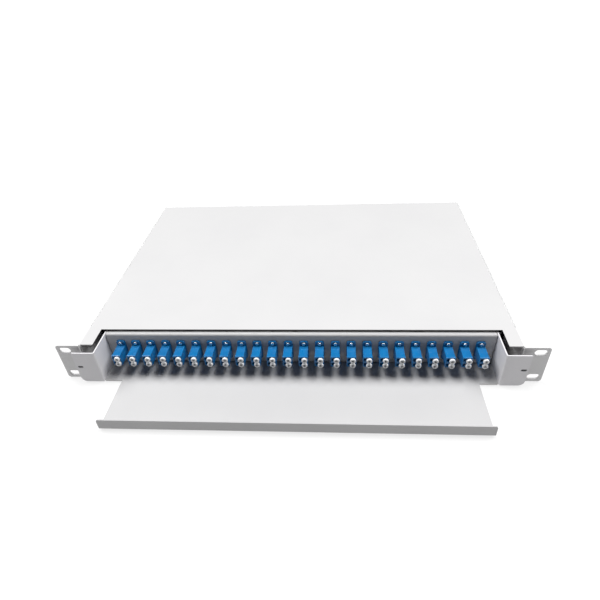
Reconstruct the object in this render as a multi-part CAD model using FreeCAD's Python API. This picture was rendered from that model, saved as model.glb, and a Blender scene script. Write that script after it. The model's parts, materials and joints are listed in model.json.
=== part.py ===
# Drawer-type fibre termination box, one rack unit high, for a 19-inch rack.
#
# Frame, in millimetres: X to the right, Y into the depth of the rack, Z up. The origin is the centre
# of the rack-slot pattern, on the rear face of the two ears, which is the face that meets the rack.
import FreeCAD, Part
import math
import os

# --- driving dimensions -----------------------------------------------------------------------

# 19-inch rack interface
RACK_WIDTH = 482.6
SLOT_SPACING_X = 465.1
SLOT_SPACING_Z = 31.75
SLOT_LENGTH = 12.0
SLOT_WIDTH = 7.0
EAR_HEIGHT = 44.2
EAR_T = 2.0
EAR_FLANGE_DEPTH = 29.0
EAR_FLANGE_LOW = -21.3
EAR_FLANGE_HIGH = 20.6
EAR_CORNER_R = 3.0

# sheet steel shell
SHEET = 1.2
BEND_R = 2.0
CHASSIS_HALF_WIDTH = 216.8
CHASSIS_DEPTH = 308.0
CHASSIS_BOTTOM = -22.7
CHASSIS_WALL_TOP = 20.0
COVER_TOP = 21.4
COVER_FRONT = 0.8
COVER_SKIRT_BOTTOM = 7.4
COVER_SKIRT_FRONT = 31.0
COVER_ARM_HALF_WIDTH = 216.6
CUTOUT_HALF_WIDTH = 203.4
CUTOUT_DEPTH = 24.4
CUTOUT_EDGE = 0.9

# drawer
FLOOR_TOP = -19.9
FLOOR_HALF_WIDTH = 199.0
FLOOR_FRONT = -8.5
FLOOR_CORNER_R = 1.5
TONGUE_HALF_WIDTH = 180.5
TONGUE_FRONT = -69.6
LIP_TOP = -7.9
LIP_CORNER_R = 2.5
TRAY_WALL_FRONT = 31.0
TRAY_WALL_TOP = 12.0
TRAY_BACK = 285.0
WING_FRONT = -9.1
WING_HALF_WIDTH = 222.8
WING_CORNER_R = 6.0
BRACKET_TOP = 18.4
BRACKET_STEP_Y = 45.0
WING_SLOT_X = 218.4
WING_SLOT_Z = -0.3
WING_SLOT_R = 1.3
WING_SLOT_LENGTH = 5.6

# adapter panel and adapters
PANEL_FRONT = 19.6
PANEL_T = 1.5
PANEL_HALF_WIDTH = 198.2
WINDOW_GAP = 0.15
PANEL_TOP_FLANGE = 9.0
PANEL_FOOT_FLANGE = 10.8
ADAPTER_COUNT = 24
ADAPTER_PITCH = 16.0
ADAPTER_Z = -0.8
BODY_WIDTH = 9.3
BODY_HEIGHT = 12.9
BODY_FRONT = 0.9
BODY_LENGTH = 35.2
BODY_CORNER_R = 0.6
FLANGE_T = 2.0
FLANGE_HEIGHT = 23.4
SCREW_Z = 9.0
FLANGE_SCREW_R = 1.0
FLANGE_SCREW_HEAD_R = 1.9
FLANGE_SCREW_HEAD_H = 1.3
FLANGE_SCREW_LENGTH = 7.0
FLANGE_NUT_HEX = 4.0
FLANGE_NUT_T = 1.6
FLANGE_CORNER_R = 2.4
PORT_SPACING = 6.25
PORT_SIZE = 4.7
PORT_DEPTH = 12.4
PORT_OFFSET_X = 1.3
KEYWAY_WIDTH = 2.4
KEYWAY_DEPTH = 1.7
SLEEVE_R = 0.8
SLEEVE_BORE_R = 0.63
SLEEVE_LENGTH = 6.8
CAP_RING_R = 2.85
CAP_HOLE_R = 1.3
CAP_SHAFT_R = 2.1
CAP_RING_LENGTH = 2.3
CAP_SHAFT_LENGTH = 7.8
CAP_GAP = 0.2
CAP_WEB_HALF = 1.1
CAP_HOLE_DEPTH = 5.5

# ball slides, one each side
SLIDE_FRONT = 36.0
SLIDE_LENGTH = 250.0
SLIDE_Z = -3.0
SLIDE_HALF_HEIGHT = 17.5
SLIDE_THICKNESS = 12.7
SLIDE_SHEET = 1.2
INNER_HALF_HEIGHT = 11.0
INNER_DEPTH = 8.8
OUTER_DEPTH = 9.4
RETAINER_FRONT = 129.0
RETAINER_LENGTH = 64.0
RETAINER_SHEET = 0.6
RETAINER_GAP = 2.4
BALL_R = 2.35
BALL_GAP = 0.12
BALLS_PER_TRACK = 5
SPACER_HALF_HEIGHT = 10.0
RIVET_HEAD_R = 3.7
RIVET_TOP_R = 2.4
RIVET_HEAD_T = 1.2
RIVET_TAIL_R = 3.3
RIVET_TAIL_T = 0.9

# splice trays, spools and what holds them
SPLICE_TRAY_SIZE = (160.0, 106.0, 9.5)
SPLICE_TRAY_CENTRE_Y = 172.0
SPLICE_TRAY_STANDOFF = 2.0
SPLICE_TRAY_WALL = 1.6
LID_T = 1.5
STUD_R = 2.0
STUD_GAP = 0.2
TRAY_STUD_X = 70.0
SPOOL_X = 139.0
SPOOL_FLANGE_R = 36.0
SPOOL_HUB_R = 21.0
SPOOL_HEIGHT = 15.0
SPOOL_SHEET = 1.6
SPOOL_TAB_HALF = 7.0

# rear wall
ENTRY_Z = -7.5
ENTRY_R = 10.4
GLAND_X = 150.0
PLUG_X = 95.0
GLAND_HEX = 24.0
GLAND_BORE_R = 5.5
GROUND_X = 190.0

# --- values that follow from them -------------------------------------------------------------

COVER_BOTTOM = COVER_TOP - SHEET
COVER_HALF_WIDTH = CHASSIS_HALF_WIDTH + SHEET
FLOOR_BOTTOM = FLOOR_TOP - SHEET
BRACKET_HALF_WIDTH = FLOOR_HALF_WIDTH + SHEET
CHASSIS_INSIDE = CHASSIS_HALF_WIDTH - SHEET
PANEL_BACK = PANEL_FRONT + PANEL_T
ADAPTER_BACK = BODY_FRONT + BODY_LENGTH
SLIDE_OUTSIDE = BRACKET_HALF_WIDTH + SLIDE_THICKNESS
TRAY_BASE_Z = FLOOR_TOP + SPLICE_TRAY_STANDOFF
TRAY_STACK_TOP = TRAY_BASE_Z + 2 * SPLICE_TRAY_SIZE[2]

X_AXIS = FreeCAD.Vector(1, 0, 0)
Y_AXIS = FreeCAD.Vector(0, 1, 0)
Z_AXIS = FreeCAD.Vector(0, 0, 1)
ORIGIN = FreeCAD.Vector(0, 0, 0)


# --- helpers ----------------------------------------------------------------------------------

def box(x0, x1, y0, y1, z0, z1):
    """A block between three pairs of limits."""
    return Part.makeBox(x1 - x0, y1 - y0, z1 - z0, FreeCAD.Vector(x0, y0, z0))


def rod(radius, x, y, z, axis, length):
    """A cylinder that starts at a point and runs along an axis."""
    return Part.makeCylinder(radius, length, FreeCAD.Vector(x, y, z), axis)


def tube(outer_r, inner_r, x, y, z, axis, length):
    """A cylinder with a bore right through it."""
    return rod(outer_r, x, y, z, axis, length).cut(rod(inner_r, x, y, z, axis, length))


def hexagon(across_flats, x, y, z, axis, length):
    """A hexagonal bar with two flats level, along the Y or Z axis."""
    radius = across_flats / math.sqrt(3)
    corners = []
    for step in range(7):
        angle = math.radians(60 * step)
        along = radius * math.cos(angle)
        across = radius * math.sin(angle)
        if axis == Y_AXIS:
            corners.append(FreeCAD.Vector(x + along, y, z + across))
        else:
            corners.append(FreeCAD.Vector(x + along, y + across, z))
    return Part.Face(Part.makePolygon(corners)).extrude(axis * length)


def edges_along(shape, axis, places):
    """The straight edges along axis 0, 1 or 2 whose other two coordinates match one of the places."""
    first, second = [index for index in range(3) if index != axis]
    found = []
    for edge in shape.Edges:
        points = [vertex.Point for vertex in edge.Vertexes]
        if len(points) < 2 or abs(points[0][axis] - points[1][axis]) < 0.1:
            continue
        for place in places:
            offsets = [abs(point[first] - place[0]) + abs(point[second] - place[1]) for point in points]
            if max(offsets) < 0.01:
                found.append(edge)
    return found


def round_edges(shape, radius, axis, places):
    """Round the edges that edges_along finds."""
    return shape.makeFillet(radius, edges_along(shape, axis, places))


def round_rim(disc, radius, y):
    """Round the circular edge of a disc that lies at height y along its Y axis."""
    rim = [edge for edge in disc.Edges if len(edge.Vertexes) == 1 and abs(edge.Vertexes[0].Y - y) < 0.01]
    return disc.makeFillet(radius, rim)


def mirrored(shape):
    """The same piece on the other side of the box."""
    return shape.mirror(ORIGIN, X_AXIS)


def both_sides(shape):
    """A piece and its mirror image."""
    return [shape, mirrored(shape)]


def moved(shape, x, y, z):
    """A copy of a piece, shifted."""
    copy = shape.copy()
    copy.translate(FreeCAD.Vector(x, y, z))
    return copy


def turned(shape, axis, angle):
    """A copy of a piece turned about an axis through the origin."""
    copy = shape.copy()
    copy.rotate(ORIGIN, axis, angle)
    return copy


def group(solids):
    """Several separate solids as one node."""
    return Part.makeCompound(solids)


def pan_screw(head_r, head_h, shank_r, length, recess_r):
    """A pan-head screw with its seat at the origin, its head towards -Y and its shank towards +Y."""
    head = rod(head_r, 0, -head_h, 0, Y_AXIS, head_h)
    head = round_rim(head, 0.45 * head_h, -head_h)
    screw = head.fuse(rod(shank_r, 0, 0, 0, Y_AXIS, length))
    slot = box(-recess_r, recess_r, -head_h, -0.5 * head_h, -0.2 * recess_r, 0.2 * recess_r)
    cross = slot.fuse(box(-0.2 * recess_r, 0.2 * recess_r, -head_h, -0.5 * head_h, -recess_r, recess_r))
    return screw.cut(cross)


def countersunk_screw(head_r, shank_r, length):
    """A countersunk screw, its flat top in the plane Y = 0 and its shank towards +Y."""
    cone_h = head_r - shank_r
    head = Part.makeCone(head_r, shank_r, cone_h, ORIGIN, Y_AXIS)
    screw = head.fuse(rod(shank_r, 0, cone_h, 0, Y_AXIS, length - cone_h))
    recess = box(-0.6 * head_r, 0.6 * head_r, 0, 0.7, -0.12 * head_r, 0.12 * head_r)
    return screw.cut(recess.fuse(turned(recess, Y_AXIS, 90)))


# --- chassis ----------------------------------------------------------------------------------

COVER_SCREW_Z = 14.0
COVER_SCREW_HEAD_R = 2.8
COVER_SCREW_R = 1.5
COVER_SCREW_LENGTH = 4.0
SIDE_SCREW_YS = (60.0, 170.0, 280.0)
REAR_SCREW_XS = (-150.0, 0.0, 150.0)
EAR_SCREW_Y = 15.0
EAR_SCREW_Z = 10.0
EAR_SCREW_R = 2.0
EAR_SCREW_HEAD_R = 3.6
EAR_SCREW_HEAD_H = 2.4
EAR_SCREW_LENGTH = 6.0
EAR_SCREW_CROSS_R = 2.2
SLIDE_RIVET_YS = (60.0, 160.0, 262.0)
SLIDE_RIVET_R = 2.0
GROUND_STUD_R = 3.0
GROUND_NECK_R = 2.6
GROUND_HEX = 9.0
GROUND_HEAD_T = 3.0
GROUND_WASHER_R = 6.0
GROUND_WASHER_T = 1.2
GROUND_NUT_T = 4.5
GROUND_NECK_GAP = 0.3
GROUND_THREAD_LENGTH = 10.0
HOLE_CLEARANCE = 0.05


def chassis_base():
    """Floor with its bends, two side walls and rear wall: four sheets that are welded edge to edge."""
    half = CHASSIS_HALF_WIDTH
    shell = box(-half, half, 0, CHASSIS_DEPTH, CHASSIS_BOTTOM, CHASSIS_WALL_TOP)
    bends = edges_along(shell, 1, [(half, CHASSIS_BOTTOM), (-half, CHASSIS_BOTTOM)])
    bends += edges_along(shell, 0, [(CHASSIS_DEPTH, CHASSIS_BOTTOM)])
    shell = shell.makeFillet(BEND_R, bends)
    inside = box(SHEET - half, half - SHEET, -1, CHASSIS_DEPTH - SHEET,
                 CHASSIS_BOTTOM + SHEET, CHASSIS_WALL_TOP + 1)
    shell = shell.cut(inside)
    holes = []
    for x in (-GLAND_X, -PLUG_X, PLUG_X, GLAND_X):
        holes.append(rod(ENTRY_R, x, CHASSIS_DEPTH - 5, ENTRY_Z, Y_AXIS, 10))
    holes.append(rod(GROUND_STUD_R + HOLE_CLEARANCE, GROUND_X, CHASSIS_DEPTH - 5, ENTRY_Z, Y_AXIS, 10))
    for x in REAR_SCREW_XS:
        holes.append(rod(COVER_SCREW_R + HOLE_CLEARANCE, x, CHASSIS_DEPTH - 5, COVER_SCREW_Z, Y_AXIS, 10))
    for y in SIDE_SCREW_YS:
        holes += both_sides(rod(COVER_SCREW_R + HOLE_CLEARANCE, half - 5, y, COVER_SCREW_Z, X_AXIS, 10))
    for y in SLIDE_RIVET_YS:
        holes += both_sides(rod(SLIDE_RIVET_R + HOLE_CLEARANCE, half - 5, y, SLIDE_Z, X_AXIS, 10))
    for z in (-EAR_SCREW_Z, EAR_SCREW_Z):
        holes += both_sides(rod(EAR_SCREW_R + HOLE_CLEARANCE, half - 5, EAR_SCREW_Y, z, X_AXIS, 10))
    shell = shell.cut(holes)
    back = CHASSIS_DEPTH
    seam = CHASSIS_BOTTOM + BEND_R
    top = CHASSIS_WALL_TOP
    floor = shell.common(box(-half, half, 0, back, CHASSIS_BOTTOM, seam))
    side = shell.common(box(half - SHEET, half, 0, back, seam, top))
    rear = shell.common(box(SHEET - half, half - SHEET, back - SHEET, back, seam, top))
    return group([floor, rear] + both_sides(side))


def top_cover():
    """Top plate with a wide cut-out, bevelled underneath, and skirts down the sides and the rear."""
    half = COVER_HALF_WIDTH
    back = CHASSIS_DEPTH + SHEET
    cover = box(-half, half, COVER_SKIRT_FRONT, back, COVER_SKIRT_BOTTOM, COVER_TOP)
    bends = edges_along(cover, 1, [(half, COVER_TOP), (-half, COVER_TOP)])
    bends += edges_along(cover, 0, [(back, COVER_TOP)])
    cover = cover.makeFillet(BEND_R, bends)
    cover = cover.cut(box(SHEET - half, half - SHEET, COVER_SKIRT_FRONT - 1, CHASSIS_DEPTH,
                          COVER_SKIRT_BOTTOM - 1, COVER_BOTTOM))
    arm = COVER_ARM_HALF_WIDTH
    front = box(-arm, arm, COVER_FRONT, COVER_SKIRT_FRONT, COVER_BOTTOM, COVER_TOP)
    front = front.cut(box(-CUTOUT_HALF_WIDTH, CUTOUT_HALF_WIDTH, -1, CUTOUT_DEPTH,
                          COVER_BOTTOM - 1, COVER_TOP + 1))
    rim = edges_along(front, 0, [(CUTOUT_DEPTH, COVER_BOTTOM)])
    rim += edges_along(front, 1, [(CUTOUT_HALF_WIDTH, COVER_BOTTOM), (-CUTOUT_HALF_WIDTH, COVER_BOTTOM)])
    front = front.makeChamfer(CUTOUT_EDGE, rim)
    cover = cover.fuse(front).removeSplitter()
    return cover.cut(cover_screw_seats())


def cover_screw_places():
    """Where each cover screw's head lies, and the turn about Z that points it into the wall."""
    places = []
    for y in SIDE_SCREW_YS:
        places.append((COVER_HALF_WIDTH, y, 90))
        places.append((-COVER_HALF_WIDTH, y, -90))
    for x in REAR_SCREW_XS:
        places.append((x, CHASSIS_DEPTH + SHEET, 180))
    return places


def at_cover_screws(shape):
    """One copy of a piece, drawn at the origin and pointing along +Y, at every cover screw."""
    return [moved(turned(shape, Z_AXIS, angle), x, y, COVER_SCREW_Z) for x, y, angle in cover_screw_places()]


def cover_screws():
    """The countersunk screws of the cover."""
    screw = countersunk_screw(COVER_SCREW_HEAD_R, COVER_SCREW_R, COVER_SCREW_LENGTH)
    return group(at_cover_screws(screw))


def cover_screw_seats():
    """The countersinks that the cover screws fill."""
    cone_h = COVER_SCREW_HEAD_R - COVER_SCREW_R
    return at_cover_screws(Part.makeCone(COVER_SCREW_HEAD_R, COVER_SCREW_R, cone_h, ORIGIN, Y_AXIS))


def rack_ear():
    """The right ear: a front plate with two rack slots, and a flange back along the chassis wall."""
    inner = CHASSIS_HALF_WIDTH
    outer = RACK_WIDTH / 2
    plate = box(inner, outer, -EAR_T, 0, -EAR_HEIGHT / 2, EAR_HEIGHT / 2)
    plate = round_edges(plate, EAR_CORNER_R, 1, [(outer, -EAR_HEIGHT / 2), (outer, EAR_HEIGHT / 2)])
    flange = box(inner, inner + EAR_T, -EAR_T, EAR_FLANGE_DEPTH, EAR_FLANGE_LOW, EAR_FLANGE_HIGH)
    ear = plate.fuse(flange).removeSplitter()
    for z in (-SLOT_SPACING_Z / 2, SLOT_SPACING_Z / 2):
        ear = ear.cut(rack_slot(SLOT_SPACING_X / 2, z))
    for z in (-EAR_SCREW_Z, EAR_SCREW_Z):
        ear = ear.cut(rod(EAR_SCREW_R + HOLE_CLEARANCE, inner - 1, EAR_SCREW_Y, z, X_AXIS, 5))
    return ear


def rack_slot(x, z):
    """The round-ended tool that cuts one rack slot."""
    straight = SLOT_LENGTH / 2 - SLOT_WIDTH / 2
    slot = box(x - straight, x + straight, -5, 5, z - SLOT_WIDTH / 2, z + SLOT_WIDTH / 2)
    for side in (-straight, straight):
        slot = slot.fuse(rod(SLOT_WIDTH / 2, x + side, -5, z, Y_AXIS, 10))
    return slot.removeSplitter()


def ear_screws():
    """Two pan-head screws through each ear flange into the chassis wall."""
    screw = pan_screw(EAR_SCREW_HEAD_R, EAR_SCREW_HEAD_H, EAR_SCREW_R, EAR_SCREW_LENGTH, EAR_SCREW_CROSS_R)
    screw = turned(screw, Z_AXIS, 90)
    screws = []
    for z in (-EAR_SCREW_Z, EAR_SCREW_Z):
        screws += both_sides(moved(screw, CHASSIS_HALF_WIDTH + EAR_T, EAR_SCREW_Y, z))
    return group(screws)


# --- rear wall fittings -----------------------------------------------------------------------

LOCKNUT_T = 5.0
COLLAR_T = 5.0
GLAND_CAP_LENGTH = 14.0
GLAND_THREAD_R = 10.2
GLAND_CLAW_R = 8.6
GLAND_CLAW_LENGTH = 11.0
GLAND_CAP_GAP = 0.2
GLAND_DOME_FOOT_R = 14.9
GLAND_DOME_TIP_R = 8.0
GLAND_DOME_WALL = 2.8
THREAD_PAST_NUT = 1.5
PLUG_RIM = 2.0
PLUG_T = 2.2
PLUG_LIP_R = 11.3
PLUG_LIP_TIP_R = 9.2
PLUG_LIP_LENGTH = 3.0
PLUG_HOLLOW_R = 7.6


def cable_gland(x):
    """The body of one cable gland: thread through the wall, hexagonal collar and clamping sleeve."""
    inside = CHASSIS_DEPTH - SHEET - LOCKNUT_T - THREAD_PAST_NUT
    thread = rod(GLAND_THREAD_R, x, inside, ENTRY_Z, Y_AXIS, CHASSIS_DEPTH - inside)
    collar = hexagon(GLAND_HEX, x, CHASSIS_DEPTH, ENTRY_Z, Y_AXIS, COLLAR_T)
    claws = rod(GLAND_CLAW_R, x, CHASSIS_DEPTH + COLLAR_T, ENTRY_Z, Y_AXIS, GLAND_CLAW_LENGTH)
    bore = rod(GLAND_BORE_R, x, inside - 1, ENTRY_Z, Y_AXIS, 40)
    return thread.fuse([collar, claws]).cut(bore)


def gland_cap(x):
    """The domed compression nut of one gland."""
    start = CHASSIS_DEPTH + COLLAR_T + GLAND_CAP_GAP
    length = GLAND_CAP_LENGTH
    nut = hexagon(GLAND_HEX, x, start, ENTRY_Z, Y_AXIS, length)
    foot = FreeCAD.Vector(x, start, ENTRY_Z)
    dome = Part.makeCone(GLAND_DOME_FOOT_R, GLAND_DOME_TIP_R, length, foot, Y_AXIS)
    nut = nut.common(dome)
    nut = nut.cut(rod(GLAND_CLAW_R + 0.1, x, start - 1, ENTRY_Z, Y_AXIS, length - GLAND_DOME_WALL + 1))
    return nut.cut(rod(GLAND_BORE_R + 0.4, x, start - 1, ENTRY_Z, Y_AXIS, length + 2))


def gland_locknut(x):
    """The nut that holds one gland from inside the wall."""
    start = CHASSIS_DEPTH - SHEET - LOCKNUT_T
    nut = hexagon(GLAND_HEX, x, start, ENTRY_Z, Y_AXIS, LOCKNUT_T)
    return nut.cut(rod(GLAND_THREAD_R + HOLE_CLEARANCE, x, start - 1, ENTRY_Z, Y_AXIS, LOCKNUT_T + 2))


def entry_plug(x):
    """A rubber plug snapped into an unused cable entry."""
    wall_inside = CHASSIS_DEPTH - SHEET
    flange = rod(ENTRY_R + PLUG_RIM, x, CHASSIS_DEPTH, ENTRY_Z, Y_AXIS, PLUG_T)
    flange = round_rim(flange, 1.0, CHASSIS_DEPTH + PLUG_T)
    barrel = rod(ENTRY_R - HOLE_CLEARANCE, x, wall_inside, ENTRY_Z, Y_AXIS, SHEET)
    lip_start = FreeCAD.Vector(x, wall_inside - PLUG_LIP_LENGTH, ENTRY_Z)
    lip = Part.makeCone(PLUG_LIP_TIP_R, PLUG_LIP_R, PLUG_LIP_LENGTH, lip_start, Y_AXIS)
    dimple = rod(PLUG_HOLLOW_R, x, CHASSIS_DEPTH + PLUG_T - 1, ENTRY_Z, Y_AXIS, 2)
    hollow = rod(PLUG_HOLLOW_R, x, wall_inside - PLUG_LIP_LENGTH - 1, ENTRY_Z, Y_AXIS, PLUG_LIP_LENGTH + 1.5)
    return flange.fuse([barrel, lip]).cut([dimple, hollow])


def ground_stud():
    """The earth stud: a neck through wall, washer and nut, and free thread beyond for a cable lug."""
    inside = CHASSIS_DEPTH - SHEET - GROUND_HEAD_T
    nut_start = CHASSIS_DEPTH + GROUND_WASHER_T
    thread_start = nut_start + GROUND_NUT_T + GROUND_NECK_GAP
    neck = rod(GROUND_NECK_R, GROUND_X, inside, ENTRY_Z, Y_AXIS, thread_start - inside)
    thread = rod(GROUND_STUD_R, GROUND_X, thread_start, ENTRY_Z, Y_AXIS, GROUND_THREAD_LENGTH)
    head = hexagon(GROUND_HEX, GROUND_X, inside, ENTRY_Z, Y_AXIS, GROUND_HEAD_T)
    bore = rod(GROUND_NECK_R + HOLE_CLEARANCE, GROUND_X, CHASSIS_DEPTH, ENTRY_Z, Y_AXIS, GROUND_THREAD_LENGTH)
    washer = rod(GROUND_WASHER_R, GROUND_X, CHASSIS_DEPTH, ENTRY_Z, Y_AXIS, GROUND_WASHER_T)
    nut = hexagon(GROUND_HEX, GROUND_X, nut_start, ENTRY_Z, Y_AXIS, GROUND_NUT_T)
    return group([neck.fuse([thread, head]), washer.cut(bore), nut.cut(bore)])


# --- ball slides ------------------------------------------------------------------------------

def slide_channel(web_x, flange_x, half_height, length):
    """A channel with its web at web_x and its two flanges reaching to flange_x."""
    low, high = sorted((web_x, flange_x))
    inner_low = low + SLIDE_SHEET if web_x < flange_x else low - 1
    inner_high = high + 1 if web_x < flange_x else high - SLIDE_SHEET
    channel = box(low, high, SLIDE_FRONT, SLIDE_FRONT + length, SLIDE_Z - half_height, SLIDE_Z + half_height)
    corners = [(web_x, SLIDE_Z - half_height), (web_x, SLIDE_Z + half_height)]
    channel = round_edges(channel, BEND_R, 1, corners)
    return channel.cut(box(inner_low, inner_high, SLIDE_FRONT - 1, SLIDE_FRONT + length + 1,
                           SLIDE_Z - half_height + SLIDE_SHEET, SLIDE_Z + half_height - SLIDE_SHEET))


def slide_outer():
    """The right slide's outer member, which stays with the chassis."""
    channel = slide_channel(SLIDE_OUTSIDE, SLIDE_OUTSIDE - OUTER_DEPTH, SLIDE_HALF_HEIGHT, SLIDE_LENGTH)
    for y in SLIDE_RIVET_YS:
        channel = channel.cut(rod(SLIDE_RIVET_R + HOLE_CLEARANCE, SLIDE_OUTSIDE - 5, y, SLIDE_Z, X_AXIS, 10))
    return channel


def slide_inner():
    """The right slide's inner member, which travels with the drawer."""
    channel = slide_channel(BRACKET_HALF_WIDTH, BRACKET_HALF_WIDTH + INNER_DEPTH, INNER_HALF_HEIGHT,
                            SLIDE_LENGTH)
    for y in SLIDE_RIVET_YS:
        channel = channel.cut(rod(SLIDE_RIVET_R + HOLE_CLEARANCE, BRACKET_HALF_WIDTH - 5, y, SLIDE_Z,
                                  X_AXIS, 10))
    return channel


BALL_TRACK_Z = (INNER_HALF_HEIGHT + SLIDE_HALF_HEIGHT - SLIDE_SHEET) / 2
BALL_X = BRACKET_HALF_WIDTH + 5.6
RETAINER_WEB_X = BRACKET_HALF_WIDTH + INNER_DEPTH + 0.8


def ball_places():
    """Centres of the balls in the right slide."""
    spacing = RETAINER_LENGTH / BALLS_PER_TRACK
    places = []
    for side in (-1, 1):
        for index in range(BALLS_PER_TRACK):
            y = RETAINER_FRONT + spacing * (index + 0.5)
            places.append(FreeCAD.Vector(BALL_X, y, SLIDE_Z + side * BALL_TRACK_Z))
    return places


def slide_retainer():
    """The right slide's ball cage: a thin channel with a hole for each ball."""
    half = BALL_TRACK_Z + RETAINER_SHEET / 2
    back = RETAINER_FRONT + RETAINER_LENGTH
    inner = BRACKET_HALF_WIDTH + RETAINER_GAP
    outer = RETAINER_WEB_X + RETAINER_SHEET
    cage = box(inner, outer, RETAINER_FRONT, back, SLIDE_Z - half, SLIDE_Z + half)
    cage = cage.cut(box(inner - 1, RETAINER_WEB_X, RETAINER_FRONT - 1, back + 1,
                        SLIDE_Z - half + RETAINER_SHEET, SLIDE_Z + half - RETAINER_SHEET))
    holes = [rod(BALL_R + BALL_GAP, place.x, place.y, place.z - 2, Z_AXIS, 4) for place in ball_places()]
    return cage.cut(holes)


def slide_balls():
    """The balls of the right slide."""
    return [Part.makeSphere(BALL_R, place) for place in ball_places()]


def slide_spacer():
    """The strip that stands the right slide off the chassis wall."""
    strip = box(SLIDE_OUTSIDE, CHASSIS_INSIDE, SLIDE_FRONT, SLIDE_FRONT + SLIDE_LENGTH,
                SLIDE_Z - SPACER_HALF_HEIGHT, SLIDE_Z + SPACER_HALF_HEIGHT)
    for y in SLIDE_RIVET_YS:
        strip = strip.cut(rod(SLIDE_RIVET_R + HOLE_CLEARANCE, SLIDE_OUTSIDE - 1, y, SLIDE_Z, X_AXIS, 10))
    return strip


def wall_rivets():
    """Rivets through slide, spacer and chassis wall, with a low dome outside."""
    rivets = []
    inner_face = SLIDE_OUTSIDE - SLIDE_SHEET
    for y in SLIDE_RIVET_YS:
        shank = rod(SLIDE_RIVET_R, inner_face, y, SLIDE_Z, X_AXIS, CHASSIS_HALF_WIDTH - inner_face)
        tail = rod(RIVET_TAIL_R, inner_face - RIVET_TAIL_T, y, SLIDE_Z, X_AXIS, RIVET_TAIL_T)
        foot = FreeCAD.Vector(CHASSIS_HALF_WIDTH, y, SLIDE_Z)
        head = Part.makeCone(RIVET_HEAD_R, RIVET_TOP_R, RIVET_HEAD_T, foot, X_AXIS)
        rivets += both_sides(shank.fuse([tail, head]))
    return group(rivets)


def drawer_rivets():
    """Rivets through tray wall, side bracket and the slide's inner member."""
    rivets = []
    tray_inside = FLOOR_HALF_WIDTH - SHEET
    web_outside = BRACKET_HALF_WIDTH + SLIDE_SHEET
    for y in SLIDE_RIVET_YS:
        shank = rod(SLIDE_RIVET_R, tray_inside, y, SLIDE_Z, X_AXIS, web_outside - tray_inside)
        top = FreeCAD.Vector(tray_inside - RIVET_HEAD_T, y, SLIDE_Z)
        head = Part.makeCone(RIVET_TOP_R, RIVET_HEAD_R, RIVET_HEAD_T, top, X_AXIS)
        tail = rod(RIVET_TAIL_R, web_outside, y, SLIDE_Z, X_AXIS, RIVET_TAIL_T)
        rivets += both_sides(shank.fuse([head, tail]))
    return group(rivets)


# --- drawer -----------------------------------------------------------------------------------

PANEL_STUD_XS = (-168.0, -88.0, 8.0, 88.0, 168.0)
PANEL_STUD_Y = 26.6
PANEL_STUD_R = 1.5
STUD_PAST_PANEL = 4.0
STUD_PAST_SPOOL = 4.5
STUD_PAST_TRAYS = 5.0
STUD_SHOULDER_R = 4.0
CABLE_NOTCH_X = 120.0
CABLE_NOTCH_HALF = 30.0
CABLE_NOTCH_Z = -6.0


def drawer_tray():
    """Floor with its tongue and lip, side walls and rear wall: flat sheets that meet edge to edge."""
    half = FLOOR_HALF_WIDTH
    rear = box(-half, half, TRAY_WALL_FRONT, TRAY_BACK, FLOOR_BOTTOM, TRAY_WALL_TOP)
    bends = edges_along(rear, 1, [(half, FLOOR_BOTTOM), (-half, FLOOR_BOTTOM)])
    bends += edges_along(rear, 0, [(TRAY_BACK, FLOOR_BOTTOM)])
    rear = rear.makeFillet(BEND_R, bends)
    rear = rear.cut(box(SHEET - half, half - SHEET, TRAY_WALL_FRONT - 1, TRAY_BACK - SHEET,
                        FLOOR_TOP, TRAY_WALL_TOP + 1))
    for x in (-CABLE_NOTCH_X, CABLE_NOTCH_X):
        rear = rear.cut(box(x - CABLE_NOTCH_HALF, x + CABLE_NOTCH_HALF, TRAY_BACK - 5, TRAY_BACK + 5,
                            CABLE_NOTCH_Z, TRAY_WALL_TOP + 5))
    front = box(-half, half, FLOOR_FRONT, TRAY_WALL_FRONT, FLOOR_BOTTOM, FLOOR_TOP)
    front = round_edges(front, FLOOR_CORNER_R, 2, [(half, FLOOR_FRONT), (-half, FLOOR_FRONT)])
    tray = rear.fuse([front, tongue()]).removeSplitter()
    holes = []
    for x, y, radius in stud_places():
        holes.append(rod(radius + HOLE_CLEARANCE, x, y, FLOOR_BOTTOM - 1, Z_AXIS, 4))
    for y in SLIDE_RIVET_YS:
        holes += both_sides(rod(SLIDE_RIVET_R + HOLE_CLEARANCE, half - 4, y, SLIDE_Z, X_AXIS, 8))
    tray = tray.cut(holes)
    return group([tray.common(region) for region in tray_regions()])


def tray_regions():
    """Blocks of space that divide the drawer tray into its flat sheets."""
    half = FLOOR_HALF_WIDTH
    inside = half - SHEET
    wall_front = TRAY_BACK - SHEET
    notch_inner = CABLE_NOTCH_X - CABLE_NOTCH_HALF
    notch_outer = CABLE_NOTCH_X + CABLE_NOTCH_HALF
    side = box(inside, half, TRAY_WALL_FRONT, TRAY_BACK, FLOOR_TOP, TRAY_WALL_TOP)
    post = box(notch_outer, inside, wall_front, TRAY_BACK, CABLE_NOTCH_Z, TRAY_WALL_TOP)
    return [
        box(-half, half, FLOOR_FRONT, TRAY_BACK, FLOOR_BOTTOM, FLOOR_TOP),
        box(-half, half, TONGUE_FRONT, FLOOR_FRONT, FLOOR_BOTTOM, FLOOR_TOP),
        box(-half, half, TONGUE_FRONT, FLOOR_FRONT, FLOOR_TOP, LIP_TOP),
        box(-inside, inside, wall_front, TRAY_BACK, FLOOR_TOP, CABLE_NOTCH_Z),
        box(-notch_inner, notch_inner, wall_front, TRAY_BACK, CABLE_NOTCH_Z, TRAY_WALL_TOP),
    ] + both_sides(side) + both_sides(post)


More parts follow.
